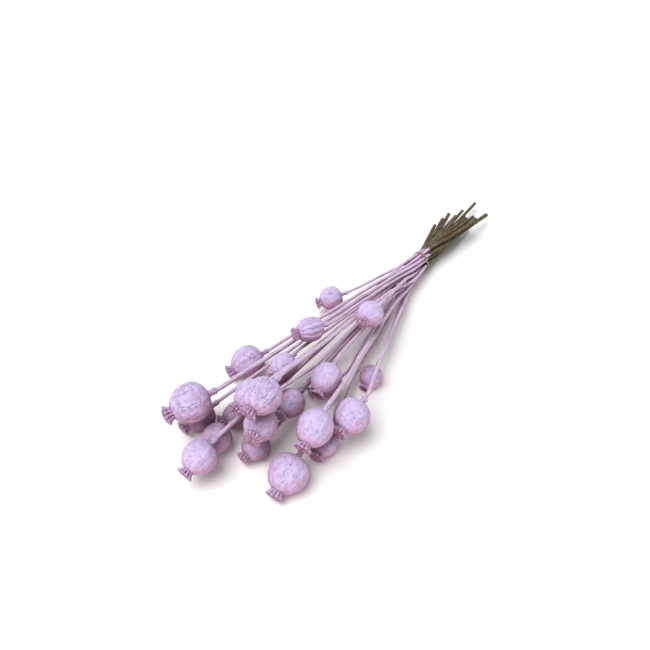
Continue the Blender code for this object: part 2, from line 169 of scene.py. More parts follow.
# Openness: how many places and rays are tried, how far out they start and how far they go,
# and what a ray to the side or to the floor is worth
OPEN_EVERY = 4
OPEN_SIDES = 12
OPEN_RAYS = 60
OPEN_FACING = 0.15
STEM_START = 0.4 * MM
HEAD_START = 1.6 * MM
OPEN_REACH = 120 * MM
SIDE_LIGHT = 0.35
FLOOR_LIGHT = 0.5

# How much finer the skin's wrinkles are across a head than along it
SKIN_SQUEEZE = 0.3

# The noise: its slanted grid, its random numbers and its strength
SLANT = np.array([[0.36, 0.48, -0.80], [-0.80, 0.60, 0.0], [0.48, 0.64, 0.60]])
PRIMES = (73856093, 19349663, 83492791, 15485863)
SCRAMBLE = 1274126177
SEED_STEP = 1000
NOISE_GAIN = 1.7

# How far the tone of each poppy's bare stem is from the last one's
TONE_STEP = 0.37

# For each poppy: its wrinkles, its specks, how far its crown is dished, how deep the
# notches between its lobes are, and how far its ribs wind round
LOOKS = (
    (1.0, 0.5, 0.1, 0.30, 0.0),
    (0.8, 0.5, 0.2, 0.25, 0.3),
    (0.5, 0.4, 0.1, 0.24, 0.0),
    (0.4, 0.4, 0.3, 0.22, 0.2),
    (0.2, 0.7, 0.4, 0.20, 0.0),
    (0.3, 0.5, 0.1, 0.14, 0.2),
    (0.5, 0.6, 0.3, 0.24, 0.3),
    (0.9, 1.0, 0.2, 0.26, 0.0),
    (0.5, 0.6, 0.3, 0.22, 0.2),
    (0.4, 0.5, 0.2, 0.24, 0.0),
    (0.3, 0.6, 0.4, 0.22, 0.2),
    (0.5, 0.5, 0.4, 0.24, 0.0),
    (0.6, 0.6, 0.3, 0.24, 0.2),
    (0.4, 0.9, 0.3, 0.24, 0.0),
    (0.7, 0.5, 0.2, 0.26, 0.2),
    (0.6, 0.4, 0.3, 0.24, 0.0),
    (0.7, 0.3, 0.1, 0.34, 0.9),
    (0.5, 0.3, 0.2, 0.26, 0.2),
    (0.3, 0.4, 0.1, 0.30, 0.0),
    (0.2, 0.4, 1.0, 0.12, 0.2),
    (0.4, 0.5, 0.3, 0.22, 0.0),
    (0.4, 0.4, 0.8, 0.14, 0.2),
)

# Colours, linear
# Painted light and shade: the paint as lit from above, and as shaded on its sides and underside
LIT_TOP_PAINT = (0.63, 0.51, 0.79)
SHADED_SIDE_PAINT = (0.68, 0.39, 0.56)
MAUVE_PAINT = (0.48, 0.28, 0.48)
CHALK = (0.74, 0.63, 0.86)
STEM_PAINT = (0.72, 0.56, 0.69)
SPECK = (0.22, 0.16, 0.27)
# Painted shade in the fine creases
PAINTED_CREASE_SHADE = (0.31, 0.20, 0.34)
CROWN_PAINT = (0.62, 0.37, 0.53)
# Painted shade, for the hollows and for places closed in by the bunch
PAINTED_SHADE_COLOUR = (0.22, 0.08, 0.115)
WORN_STEM = (0.33, 0.20, 0.20)
OLIVE_STEM = (0.072, 0.060, 0.026)
GREY_STEM = (0.29, 0.26, 0.18)
RED_STEM = (0.12, 0.055, 0.032)
BAND = (0.42, 0.30, 0.19)
BAND_SHADE = (0.26, 0.17, 0.12)
FLOOR = (0.93, 0.93, 0.93)

# How many features of each grain there are to a metre. The streaks are drawn out along
# the bunch, and the cracks are bent
BROAD_SCALE = 60.0
MOTTLE_SCALE = 460.0
DUST_SCALE = 2400.0
STREAK_SCALE = 1300.0
STREAK_SQUEEZE = 0.045
SPECK_SCALE, SPECK_PATCHES = 500.0, 260.0
CRACK_SCALE, CRACK_PATCHES = 300.0, 200.0
CRACK_BEND = 1.5
BAND_SCALE = 1800.0

# Where a grain's value starts and ends each effect, and for some the most it reaches
SPECKLED, SPECK_EDGE = (0.46, 0.60), (0.26, 0.12)
CRACKED, CRACK_EDGE = (0.34, 0.56), (0.034, 0.004)
# Painted light: how far up a face turns, with broad noise, from the shaded side to the lit top
LIT_FACING = (-0.15, 0.85)
CHALKY = (0.50, 0.72, 0.55)
MAUVE = (0.45, 0.28, 0.35)
WORN = (0.52, 0.34, 0.55)
ROSY = (0.25, 0.6, 0.85)
# Where painted shade in the hollows starts and where it is full
SHADE_DEPTH = (0.18, 1.25)
GREY = (0.42, 0.68, 0.85)
RED = (0.35, 0.65, 0.8)
COVERED = (0.22, 0.48)

# How strongly each colour shows, and how far each grain lifts the surface
# Painted shade: how strongly it shows on the crease lines and where the bunch closes in
STEM_SHARE, CREASE_SHADE_SHARE, SPECK_SHARE, BURIED_SHADE_SHARE = 0.5, 0.72, 0.9, 0.68
EDGE_MOTTLE = 0.9
DUST_RELIEF, MOTTLE_RELIEF, LINE_RELIEF = 0.25, 0.55, 1.3
SPECK_RELIEF, CRACK_RELIEF = 0.6, 0.7
SKIN_RELIEF = 0.7 * MM
BAND_RELIEF = 0.15 * MM

# Faces of the band's solid that meet at less than this are joined before it is rounded
BAND_FOLD = math.radians(60)

# The studio: the white floor, the sky's light from its horizon up, and the sun's height,
# turn, power and spread
FLOOR_SIZE = 12
FLOOR_CORNERS = 64
SKY_LIGHT = 0.42
HORIZON_LIGHT = 0.95
HORIZON_TOP, SKY_START = 0.10, 0.45
SUN = (68, -22, 2.75, 45)

Row = namedtuple("Row", "points middle first second reach recess crown stem")
Grains = namedtuple("Grains", "broad mottle dust streaks")


def unit(vector):
    """A vector of length one."""
    return vector / np.linalg.norm(vector)


def smooth(value, low, high):
    """A smooth step from 0 at low to 1 at high."""
    share = np.clip((value - low) / (high - low), 0, 1)
    return share * share * (3 - 2 * share)


def hashed(cell, seed):
    """An even random number from 0 to 1 for each whole-numbered cell."""
    mixed = cell[..., 0] * PRIMES[0] ^ cell[..., 1] * PRIMES[1]
    mixed = mixed ^ cell[..., 2] * PRIMES[2] ^ seed * PRIMES[3]
    mixed = (mixed ^ (mixed >> 13)) & 0xFFFFFFFF
    mixed = (mixed * SCRAMBLE) & 0xFFFFFFFF
    return ((mixed ^ (mixed >> 15)) & 0xFFFF) / 0xFFFF


def noise(points, seed):
    """Smooth noise from about -1 to 1 at an array of points, on a slanted grid."""
    points = points @ SLANT
    cell = np.floor(points).astype(np.int64)
    part = points - cell
    fade = part ** 3 * (part * (part * 6 - 15) + 10)
    total = np.zeros(points.shape[:-1])
    for corner in np.ndindex(2, 2, 2):
        weight = np.prod(np.where(corner, fade, 1 - fade), axis=-1)
        for axis in range(3):
            slope = 2 * hashed(cell + np.array(corner), seed + SEED_STEP * axis) - 1
            total += weight * slope * (part[..., axis] - corner[axis])
    return NOISE_GAIN * total


def capsule_shape(share):
    """The capsule's radius and place along its axis, from its base (0) to its neck (1)."""
    base_angle = math.asin(BASE_RADIUS ** (1 / FULLNESS))
    neck_angle = math.pi - math.asin(NECK_RADIUS ** (1 / FULLNESS))
    angle = base_angle + (neck_angle - base_angle) * share
    along = -math.cos(angle)
    return math.sin(angle) ** FULLNESS * (1 - CROWNWARD_TAPER * along), along


def curve_through(knots, values, at):
    """A smooth curve through values at rising knots."""
    slopes = np.gradient(values, knots, axis=0)
    k = np.clip(np.searchsorted(knots, at) - 1, 0, len(knots) - 2)
    span = (knots[k + 1] - knots[k])[:, None]
    t = (at - knots[k])[:, None] / span
    start = (2 * t ** 3 - 3 * t ** 2 + 1) * values[k] + (t ** 3 - 2 * t ** 2 + t) * span * slopes[k]
    end = (3 * t ** 2 - 2 * t ** 3) * values[k + 1] + (t ** 3 - t ** 2) * span * slopes[k + 1]
    return start + end


def solid_rings(node):
    """The rings of a poppy's solid, from its cut end to the middle of its crown."""
    mesh = bmesh.new()
    mesh.from_mesh(node.data)
    bmesh.ops.remove_doubles(mesh, verts=mesh.verts, dist=WELD)
    mesh.verts.index_update()
    tip = max(mesh.verts, key=lambda vert: vert.co.y)
    ring = sorted(mesh.verts, key=lambda vert: (vert.co - tip.co).length)[:SOLID_SIDES]
    seen = {vert.index for vert in ring}
    rings = []
    while ring:
        rings.append(np.array([vert.co[:] for vert in ring]))
        found = {}
        for vert in ring:
            for edge in vert.link_edges:
                other = edge.other_vert(vert)
                if other.index not in seen:
                    found[other.index] = other
        seen.update(found)
        ring = [found[k] for k in sorted(found)]
    mesh.free()
    return rings


class Poppy:
    """One poppy of the frame: its stem's line, and its head's axis, sizes and rays."""

    def __init__(self, number, look):
        self.number = number
        self.node = f"poppy_{number:02d}"
        self.wrinkles, self.specks, self.dish, self.notch, self.twist = look
        rings = solid_rings(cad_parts[self.node])
        middles = np.array([ring.mean(axis=0) for ring in rings])
        reaches = [np.linalg.norm(ring - middle, axis=1) for ring, middle in zip(rings, middles)]
        base = len(rings) + BASE_RING
        foot = base - COLLAR_RINGS
        self.aim = unit(middles[NECK_RING] - middles[base])
        base_at, neck_at = capsule_shape(0)[1], capsule_shape(1)[1]
        self.half = np.linalg.norm(middles[NECK_RING] - middles[base]) / (neck_at - base_at)
        self.centre = middles[base] - self.aim * base_at * self.half
        self.radius = reaches[MIDDLE_RING].max() / capsule_shape(0.5)[0]
        self.rib = 1 - reaches[MIDDLE_RING].min() / reaches[MIDDLE_RING].max()
        self.rays = len(rings[LOBE_RING]) // 2
        self.crown_radius = reaches[LOBE_RING].max()
        along = (middles - self.centre) @ self.aim
        self.lobe_at, self.lobe_top, self.tip_at = along[LOBE_RING], along[LOBE_RING + 1], along[-1]
        crest = rings[LOBE_RING][reaches[LOBE_RING].argmax()] - middles[LOBE_RING]
        self.first = unit(crest - self.aim * (crest @ self.aim))
        self.second = np.cross(self.aim, self.first)
        self.collar_at = (middles[foot:base] - self.centre) @ self.aim
        self.collar_reach = np.array([reach.mean() for reach in reaches[foot:base]])
        self.line = np.vstack([middles[:foot + 1], middles[base]])
        steps = np.linalg.norm(np.diff(self.line, axis=0), axis=1)
        self.knots = np.concatenate([[0], np.cumsum(steps)])
        self.reach = np.array([reach.mean() for reach in reaches[:foot + 1]])
        self.scars = []
        for k in range(1, foot):
            plain = (self.reach[k - 1] + self.reach[k + 1]) / 2
            if self.reach[k] > SWOLLEN * plain:
                self.scars.append(self.knots[k])
                self.reach[k] = plain


def ring_points(middle, first, second, reach, along=None, aim=None):
    """Points round a middle, at a reach for each, moved along the axis where asked."""
    angles = np.arange(len(reach)) * 2 * math.pi / len(reach)
    outward = np.cos(angles)[:, None] * first + np.sin(angles)[:, None] * second
    points = middle + reach[:, None] * outward
    return points if along is None else points + along[:, None] * aim


def stem_rows(poppy):
    """The stem from its cut end up to its collar, with grooves and leaf scars."""
    length = poppy.knots[-2]
    at = np.linspace(0, length, int(length / ROW_STEP), endpoint=False)
    middles = curve_through(poppy.knots, poppy.line, at)
    ahead = np.gradient(middles, axis=0)
    reach = np.interp(at, poppy.knots[:-1], poppy.reach)
    angles = np.arange(STEM_SIDES) * 2 * math.pi / STEM_SIDES
    across = [None] * len(at)
    first = poppy.first
    for k in range(len(at) - 1, -1, -1):
        along = unit(ahead[k])
        first = unit(first - along * (first @ along))
        across[k] = (first, np.cross(along, first), along)
    rows = []
    zero = np.zeros(STEM_SIDES)
    for k, (first, second, along) in enumerate(across):
        winding = angles + at[k] / GROOVE_PITCH
        spots = (np.cos(angles) * DENT_ROUND, np.sin(angles) * DENT_ROUND, zero + at[k] / DENT_LENGTH)
        dents = 1 + noise(np.stack(spots, axis=1), poppy.number)
        groove = GROOVE_DEPTH * (1 + np.cos(GROOVES * winding)) + DENT_DEPTH * dents
        width = reach[k] * (STEM_FULLNESS - groove)
        for scar in poppy.scars:
            bulge = math.exp(-((at[k] - scar) / SCAR_LENGTH) ** 2)
            lean = SCAR_ROUND + SCAR_LEAN * np.cos(angles - poppy.number)
            width = width + reach[k] * bulge * SCAR_HEIGHT * lean
        if k == 0:
            rows += cut_end(poppy, middles[0], first, second, along, width)
            continue
        points = ring_points(middles[k], first, second, width)
        # The grooves carry painted shade as deep as they are
        rows.append(Row(points, middles[k], first, second, reach[k], zero + groove, zero, 1.0))
    return rows


def cut_end(poppy, middle, first, second, along, width):
    """The cut across the stem, with its pith sunk a little."""
    rows = []
    for share, depth in CUT_END:
        place = middle + along * depth * MM
        reach = width * share
        points = ring_points(place, first, second, reach) if share else place[None]
        # Painted shade on the sunk pith
        shade = np.full(len(points), PITH_SHADE if share < PITH else 0.0)
        crown = np.zeros(len(points))
        rows.append(Row(points, place, first, second, max(reach.mean(), MM), shade, crown, 1.0))
    return rows


def head_row(poppy, along, reach, recess, crown=0.0):
    """One ring of the head about its axis."""
    sides = len(reach)
    along = np.broadcast_to(along, sides)
    points = ring_points(poppy.centre, poppy.first, poppy.second, reach, along, poppy.aim)
    recess = np.clip(np.broadcast_to(recess, sides), 0, 1)
    crown = np.clip(np.broadcast_to(crown, sides), 0, 1)
    middle = poppy.centre + poppy.aim * along.mean()
    return Row(points, middle, poppy.first, poppy.second, reach.max(), recess, crown, 0.0)


def collar_rows(poppy):
    """The two beads of the collar and the stipe that carries the capsule."""
    rows = []
    places = np.linspace(0, len(poppy.collar_at) - 1, COLLAR_ROWS)
    knots = np.arange(len(poppy.collar_at)).astype(float)
    reaches = curve_through(knots, poppy.collar_reach[:, None], places)[:, 0]
    alongs = np.interp(places, knots, poppy.collar_at)
    angles = np.arange(COLLAR_SIDES) * 2 * math.pi / COLLAR_SIDES
    for place, reach, along in zip(places, reaches, alongs):
        bead = math.sin(place * math.pi / 2) ** 2
        knobs = np.cos(KNOB_COUNT * angles + poppy.number) + np.cos(KNOB_SWAY * angles + place * 2)
        knobs = KNOB_HEIGHT * bead * knobs
        # Painted shade between the two beads, and painted light on the knobs
        recess = COLLAR_SHADE * (1 - bead) - knobs * KNOB_LIGHT
        rows.append(head_row(poppy, along, reach * (1 + knobs), recess))
    base_reach, base_at = capsule_shape(0)
    narrow, low = poppy.collar_reach[-1], poppy.collar_at[-1]
    for k in range(1, STIPE_ROWS + 1):
        share = k / (STIPE_ROWS + 1)
        reach = narrow + (base_reach * poppy.radius - narrow) * share ** STIPE_CURVE
        along = low + (base_at * poppy.half - low) * share
        # The stipe carries painted shade
        rows.append(head_row(poppy, along, np.full(STIPE_SIDES, reach), STIPE_SHADE))
    return rows


def valley(phase):
    """0 along a rib's crest and 1 in the valley between two."""
    sharp = np.abs(np.sin(phase / 2)) ** VALLEY_POWER
    return ROUND_VALLEY * (1 - np.cos(phase)) / 2 + SHARP_VALLEY * sharp


def capsule_rows(poppy):
    """The capsule, with its ribs, long wrinkles and dents."""
    angles = np.arange(HEAD_SIDES) * 2 * math.pi / HEAD_SIDES
    rows = []
    tight = CREASE_COUNT + WRINKLED_COUNT * poppy.wrinkles
    ring = np.stack([np.cos(angles), np.sin(angles), np.zeros(HEAD_SIDES)], axis=1)
    for share in np.linspace(0, 1, CAPSULE_ROWS):
        reach, along = capsule_shape(share)
        sway = poppy.twist * math.sin(share * math.pi)
        ribs = valley(poppy.rays * angles + sway) * poppy.rib
        ribs = ribs * smooth(share, 0, RIB_START) * (1 + smooth(share, RIB_STRENGTHENS, 1))
        bend = noise(ring * BEND_ROUND + (0, 0, share * BEND_ALONG), poppy.number + BEND_SEED)
        bend = BEND * bend[:, None]
        shift = (0, 0, share * CREASE_LENGTH + CREASE_OFFSET)
        long = noise(ring * tight + bend + shift, poppy.number + CREASE_SEED)
        shift = (0, 0, share * FINE_LENGTH)
        fine = noise(ring * tight * FINE_SIZE + bend + shift, poppy.number + FINE_SEED)
        crease = np.maximum(1 - CREASE_WIDTH * np.abs(long), 0)
        crease = crease + FINE_SHARE * np.maximum(1 - FINE_WIDTH * np.abs(fine), 0)
        rough = SMOOTH_BASE + (1 - SMOOTH_BASE) * smooth(share, 0.1, 0.5)
        crease = crease * poppy.wrinkles * rough
        shift = (0, 0, share * HOLLOW_ALONG)
        hollow = 1 + noise(ring * HOLLOW_ROUND + shift, poppy.number + HOLLOW_SEED)
        body = 1 - RIB_DEPTH * ribs - CREASE_DEPTH * crease - HOLLOW_DEPTH * hollow
        # Painted shade towards the neck and the foot, in the creases and in the valleys between the
        # ribs
        ends = NECK_SHADE * smooth(share, 0.93, 1.0) + FOOT_SHADE * smooth(share, 0.10, 0.0)
        recess = CREASE_SHADE * crease * poppy.wrinkles + RIB_SHADE * ribs + ends
        rows.append(head_row(poppy, along * poppy.half, poppy.radius * reach * body, recess))
    return rows


def crown_rows(poppy):
    """The crown: pleats under it, its notched lobes, and the rays over its top."""
    angles = np.arange(HEAD_SIDES) * 2 * math.pi / HEAD_SIDES
    ring = np.stack([np.cos(angles), np.sin(angles), np.zeros(HEAD_SIDES)], axis=1)
    warp = LOBE_WARP * noise(ring * LOBE_WARP_ROUND, poppy.number)
    turns = poppy.rays * (angles + warp) / (2 * math.pi)
    lobe = np.round(turns).astype(int)
    phase = (turns - lobe) * 2 * math.pi
    beside = (lobe + np.sign(phase).astype(int)) % poppy.rays
    lobe = lobe % poppy.rays
    between = np.abs(np.sin(phase / 2))
    random = np.random.default_rng(poppy.number)

    def by_lobe(values):
        """Each lobe's own value, blended where it meets the next."""
        other = 0.5 * between ** 4
        return values[lobe] * (1 - other) + values[beside] * other

    size = by_lobe(random.uniform(LOBE_SMALL, LOBE_LARGE, poppy.rays))
    lift = by_lobe(random.uniform(-1, 1, poppy.rays))
    notch = between ** 3
    edge = poppy.crown_radius * size * (1 - poppy.notch * notch)
    neck_reach = poppy.radius * NECK_RADIUS
    neck_at = capsule_shape(1)[1] * poppy.half
    droop = LOBE_DROOP * (1 - notch)
    under_edge = poppy.lobe_at + poppy.radius * (LOBE_LIFT * lift - droop)
    thick = (poppy.lobe_top - poppy.lobe_at) * (EDGE_THICK - NOTCH_THIN * notch)
    valleys = valley(poppy.rays * angles)
    rows = []
    for share in np.linspace(0, 1, SKIRT_ROWS)[1:]:
        flare = share ** SKIRT_FLARE
        pleats = valleys * PLEAT_DEPTH * math.sin(share * math.pi)
        reach = neck_reach * (1 - NECK_RIBS * poppy.rib * valleys) * (1 - flare) + edge * flare
        along = neck_at + (under_edge - neck_at) * share
        # Painted shade under the crown, less towards the lobes and more in the pleats
        recess = SKIRT_SHADE - SKIRT_LIGHT * share + PLEAT_SHADE * pleats
        rows.append(head_row(poppy, along, reach * (1 - pleats), recess, SKIRT_COLOUR * share))
    for share in (0.25, 0.5, 0.75):
        reach = edge + EDGE_BULGE * poppy.radius * math.sin(share * math.pi)
        along = under_edge + thick * (1 - math.cos(share * math.pi)) / 2
        # Painted shade in the notches
        rows.append(head_row(poppy, along, reach, NOTCH_SHADE * notch ** 2, EDGE_COLOUR))
    top = under_edge + thick
    middle_at = poppy.tip_at - poppy.radius * DISH_DEPTH * poppy.dish
    ridge = np.exp(-(phase / RAY_WIDTH) ** 2)
    for share in np.linspace(DISC_OUTER, DISC_INNER, DISC_ROWS):
        inner = 1 + (edge / poppy.crown_radius - 1) * smooth(share, 0.3, 0.95)
        blend = share ** DISC_CURVE
        arch = math.sin(math.pi * min(1.0, share * RAY_REACH) ** RAY_CURVE)
        rays = RAY_HEIGHT * poppy.radius * ridge * arch
        rim = RIM_HEIGHT * poppy.radius * math.exp(-((share - RIM_PLACE) / RIM_WIDTH) ** 2)
        along = top * blend + middle_at * (1 - blend) + rays + rim
        # Painted shade in the dish, between the rays and by the notches
        dish = poppy.dish * smooth(share, 0.9, 0.5) * DISH_SHADE
        recess = GAP_SHADE * (1 - ridge) + LOBE_SHADE * notch * smooth(share, 0.5, 0.95) + dish
        crown = RIM_COLOUR + (1 - RIM_COLOUR) * smooth(share, 1.0, 0.7)
        rows.append(head_row(poppy, along, poppy.crown_radius * inner * share, recess, crown))
    tip = poppy.centre + poppy.aim * middle_at
    # Painted shade at the middle of the crown
    shade, crown = np.array([TIP_SHADE]), np.ones(1)
    rows.append(Row(tip[None], tip, poppy.first, poppy.second, MM, shade, crown, 0.0))
    return rows


def solid_tree():
    """Every solid of the frame, ready for rays."""
    points, faces = [], []
    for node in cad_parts.values():
        start = len(points)
        points += [vert.co[:] for vert in node.data.vertices]
        faces += [[start + k for k in face.vertices] for face in node.data.polygons]
    return BVHTree.FromPolygons(points, faces)


def ray_directions():
    """Directions spread evenly over a sphere."""
    k = np.arange(OPEN_RAYS) + 0.5
    height = 1 - 2 * k / OPEN_RAYS
    angle = k * math.pi * (3 - math.sqrt(5))
    wide = np.sqrt(1 - height ** 2)
    return np.stack([wide * np.cos(angle), wide * np.sin(angle), height], axis=1)


def open_shares(rows, tree):
    """How open each row is at a few angles round it, from 0 (closed in) to 1."""
    directions = ray_directions()
    angles = np.arange(OPEN_SIDES) * 2 * math.pi / OPEN_SIDES
    picked = list(range(0, len(rows), OPEN_EVERY))
    table = np.zeros((len(picked), OPEN_SIDES))
    for i, k in enumerate(picked):
        row = rows[k]
        for j, angle in enumerate(angles):
            outward = math.cos(angle) * row.first + math.sin(angle) * row.second
            clear = STEM_START if row.stem else HEAD_START
            start = Vector(row.middle + outward * (row.reach + clear))
            facing = directions[directions @ outward > OPEN_FACING]
            weights = SIDE_LIGHT + np.maximum(facing[:, 2], 0)
            free = [tree.ray_cast(start, Vector(way), OPEN_REACH)[0] is None for way in facing]
            worth = np.where(facing[:, 2] > 0, 1.0, FLOOR_LIGHT)
            table[i, j] = (weights * worth * free).sum() / weights.sum()
    every = np.arange(len(rows))
    return np.stack([np.interp(every, picked, table[:, j]) for j in range(OPEN_SIDES)], axis=1)


def paint_layer(poppy, rows, tree, tie_low, tie_high):
    """How much paint each point has, from 0 (bare) to 1, and how much painted shade it gets for lying
    closed in by the bunch.
    """
    shares = open_shares(rows, tree)
    tie_at = (tie_low[1] + tie_high[1]) / 2
    height = np.interp(-tie_at, -poppy.line[:, 1], poppy.line[:, 2])
    level = (height - tie_low[2]) / (tie_high[2] - tie_low[2])
    edge = tie_at + PAINT_SHORT_OF_TIE + (PAINT_PAST_TIE - PAINT_SHORT_OF_TIE) * level
    layer, painted_buried_shade = [], []
    for row, share in zip(rows, shares):
        turn = np.arange(len(row.points)) / len(row.points) * OPEN_SIDES
        here = np.interp(turn, np.arange(OPEN_SIDES + 1), np.append(share, share[0]))
        if row.stem:
            reached = smooth(row.points[:, 1], edge + PAINT_FADE, edge - PAINT_FADE)
            covered = THIN_STEM_PAINT + (1 - THIN_STEM_PAINT) * smooth(here, *STEM_OPEN)
            layer.append(reached * covered)
            painted_buried_shade.append(smooth(here, *STEM_BURIED_SHADE))
        else:
            layer.append(THIN_HEAD_PAINT + (1 - THIN_HEAD_PAINT) * smooth(here, *HEAD_OPEN))
            painted_buried_shade.append(smooth(here, *HEAD_BURIED_SHADE))
    return np.concatenate(layer), np.concatenate(painted_buried_shade)


def join(lower, upper):
    """Faces between two rings: equal, the upper twice the lower, or one of them a point."""
    after, above = np.roll(lower, -1), np.roll(upper, -1)
    if len(lower) == 1:
        return np.stack([np.full(len(upper), lower[0]), above, upper], axis=1).tolist()
    if len(upper) == 1:
        return np.stack([lower, after, np.full(len(lower), upper[0])], axis=1).tolist()
    if len(lower) == len(upper):
        return np.stack([lower, after, above, upper], axis=1).tolist()
    even, odd, last = upper[0::2], upper[1::2], above[1::2]
    faces = np.stack([lower, odd, even], axis=1).tolist()
    faces += np.stack([lower, after, odd], axis=1).tolist()
    return faces + np.stack([after, last, odd], axis=1).tolist()


def grow(poppy, tree, tie_low, tie_high, finish):
    """One poppy as one closed mesh in place of its solid."""
    lower = stem_rows(poppy) + collar_rows(poppy) + capsule_rows(poppy)
    upper = crown_rows(poppy)
    paint, painted_buried_shade = paint_layer(poppy, lower, tree, tie_low, tie_high)
    rows = lower + upper
    points = np.concatenate([row.points for row in rows])
    points[:, 2] = np.maximum(points[:, 2], 0)
    crown_count = sum(len(row.points) for row in upper)
    # A crown takes painted shade from how closed in the neck below it is
    crown_buried_shade = CROWN_BURIED_SHADE * painted_buried_shade[-HEAD_SIDES:].mean()
    layers = {
        "paint": np.concatenate([paint, np.ones(crown_count)]),
        "painted_buried_shade": np.concatenate([painted_buried_shade, np.full(crown_count, crown_buried_shade)]),
        "wrinkles": np.full(len(points), poppy.wrinkles),
        "recess": np.concatenate([row.recess for row in rows]),
        "crown": np.concatenate([row.crown for row in rows]),
        "stem": np.concatenate([np.full(len(row.points), row.stem) for row in rows]),
        "specks": np.full(len(points), poppy.specks),
        "tone": np.full(len(points), (poppy.number * TONE_STEP) % 1),
    }
    starts = np.cumsum([0] + [len(row.points) for row in rows])
    faces = []
    for k in range(len(rows) - 1):
        faces += join(np.arange(starts[k], starts[k + 1]), np.arange(starts[k + 1], starts[k + 2]))
    mesh = bpy.data.meshes.new(f"grown_{poppy.node}")
    mesh.from_pydata(points.tolist(), [], faces)
    for name, values in layers.items():
        layer = mesh.attributes.new(name, "FLOAT", "POINT")
        layer.data.foreach_set("value", values.astype(np.float32))
    along = (points - poppy.centre) @ poppy.aim
    skin = points - (1 - SKIN_SQUEEZE) * along[:, None] * poppy.aim
    layer = mesh.attributes.new("skin", "FLOAT_VECTOR", "POINT")
    layer.data.foreach_set("vector", skin.astype(np.float32).ravel())
    mesh.materials.append(finish)
    mesh.shade_smooth()
    piece = bpy.data.objects.new(mesh.name, mesh)
    bpy.context.scene.collection.objects.link(piece)
    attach(piece, "root")
    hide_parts(poppy.node)


def add(tree, kind, inputs=None, **settings):
    """Add a shader node, with its inputs set or linked."""
    node = tree.nodes.new(kind)
    for key, value in settings.items():
        setattr(node, key, value)
    for key, value in (inputs or {}).items():
        if isinstance(value, bpy.types.NodeSocket):
            tree.links.new(value, node.inputs[key])
        else:
            node.inputs[key].default_value = value
    return node


def grain(tree, place, scale, detail=3.0):
    """A noise texture's value."""
    inputs = {"Vector": place, "Scale": scale, "Detail": detail}
    return add(tree, "ShaderNodeTexNoise", inputs).outputs[0]


def ranged(tree, value, low, high, top=1.0):
    """A smooth step of a value, from 0 at low to top at high."""
    inputs = {0: value, 1: low, 2: high, 3: 0.0, 4: top}
    return add(tree, "ShaderNodeMapRange", inputs, interpolation_type="SMOOTHSTEP").outputs[0]


def math_node(tree, operation, first, second):
    """The result of a math node."""
    return add(tree, "ShaderNodeMath", {0: first, 1: second}, operation=operation).outputs[0]


def times(tree, first, second):
    """The product of two values."""
    return math_node(tree, "MULTIPLY", first, second)


def mixed(tree, share, first, second):
    """A mix of two colours."""
    inputs = {0: share}
    for key, colour in ((6, first), (7, second)):
        inputs[key] = colour if isinstance(colour, bpy.types.NodeSocket) else (*colour, 1.0)
    return add(tree, "ShaderNodeMix", inputs, data_type="RGBA").outputs[2]


def attribute(tree, name):
    """A point attribute's value."""
    return add(tree, "ShaderNodeAttribute", attribute_name=name).outputs["Fac"]


def new_finish(name, roughness):
    """A material with its node tree and its shader."""
    finish = bpy.data.materials.new(name)
    finish.use_nodes = True
    shader = finish.node_tree.nodes["Principled BSDF"]
    shader.inputs["Roughness"].default_value = roughness
    return finish, finish.node_tree, shader


def painted_specks(tree, place):
    """Dark specks in patches, as strong as the poppy's own share."""
    cells = add(tree, "ShaderNodeTexVoronoi", {"Vector": place, "Scale": SPECK_SCALE})
    patches = ranged(tree, grain(tree, place, SPECK_PATCHES, 2.0), *SPECKLED)
    spots = times(tree, ranged(tree, cells.outputs["Distance"], *SPECK_EDGE), patches)
    return times(tree, spots, attribute(tree, "specks"))


def crease_line_mask(tree, place, skin):
    """Thin broken creases along a head, stronger on a wrinkled one; they are pressed in and take
    painted shade.
    """
    line = {"Vector": skin, "Scale": CRACK_SCALE, "Detail": 2.0, "Distortion": CRACK_BEND}
    line = add(tree, "ShaderNodeTexNoise", line).outputs[0]
    line = math_node(tree, "ABSOLUTE", math_node(tree, "SUBTRACT", line, 0.5), 0.0)
    broken = ranged(tree, grain(tree, place, CRACK_PATCHES, 2.0), *CRACKED)
    head = math_node(tree, "SUBTRACT", 1.0, attribute(tree, "stem"))
    line = times(tree, times(tree, ranged(tree, line, *CRACK_EDGE), broken), head)
    half = times(tree, attribute(tree, "wrinkles"), 0.5)
    return times(tree, line, math_node(tree, "ADD", half, 0.5))


